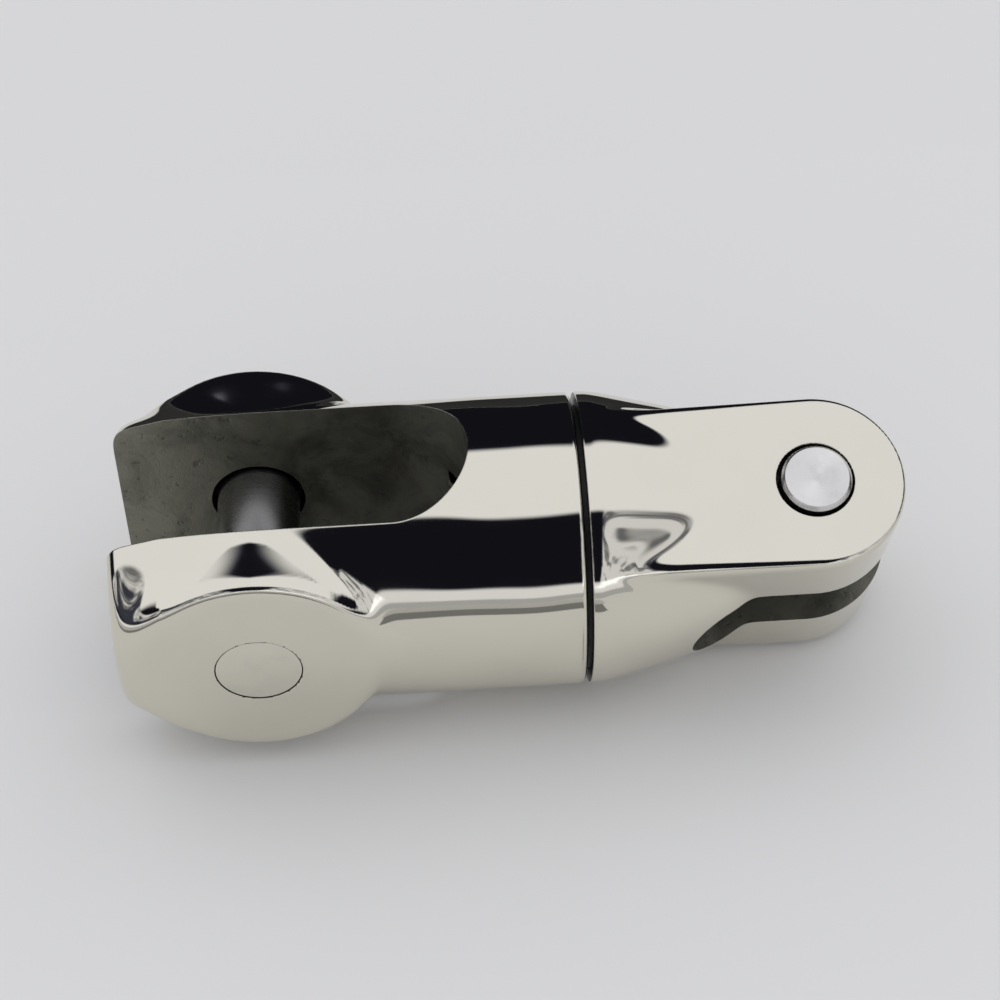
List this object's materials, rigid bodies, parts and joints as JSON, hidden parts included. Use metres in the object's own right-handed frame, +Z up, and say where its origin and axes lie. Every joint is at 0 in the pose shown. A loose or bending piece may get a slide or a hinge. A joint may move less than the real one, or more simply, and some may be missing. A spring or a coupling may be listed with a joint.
{
  "type": "anchor swivel",
  "caption": "Jaw-to-jaw anchor swivel: a large anchor fork and a smaller chain fork in polished steel turn against each other, each closed by a screw pin.",
  "frame": {"origin": "centre of the bounding box, at its bottom: under the swivel axis, on the surface that the barrel lies on", "axes": "+X along the swivel axis towards the chain fork, +Y along the anchor pin towards its threaded head, +Z up"},
  "size_m": [0.1264, 0.0484, 0.048],
  "materials": {
    "polished_steel": "mirror polished",
    "turned_steel": "fine turned",
    "bronze": "satin",
    "black_acetal": "satin"
  },
  "bodies": {
    "anchor_side": {"anchor_fork": "polished_steel", "anchor_pin_set_screw": "turned_steel", "stud_bush": "bronze", "stud_head_washer": "bronze", "joint_thrust_washer": "black_acetal"},
    "chain_side": {"chain_fork": "polished_steel", "swivel_stud": "turned_steel", "stud_lock_pin": "turned_steel", "chain_pin_set_screw": "turned_steel"},
    "anchor_pin": {"anchor_pin": "turned_steel"},
    "chain_pin": {"chain_pin": "turned_steel"}
  },
  "joints": [
    {"name": "swivel", "type": "hinge", "parent": "anchor_side", "child": "chain_side", "pos_m": [0.0118, 0, 0.024], "axis": [1, 0, 0], "continuous": true},
    {"name": "anchor_pin_slide", "type": "slide", "parent": "anchor_side", "child": "anchor_pin", "axis": [0, 1, 0], "range_m": [0, 0.045]},
    {"name": "chain_pin_slide", "type": "slide", "parent": "chain_side", "child": "chain_pin", "axis": [0, 0.3535, -0.9354], "range_m": [0, 0.034]}
  ]
}
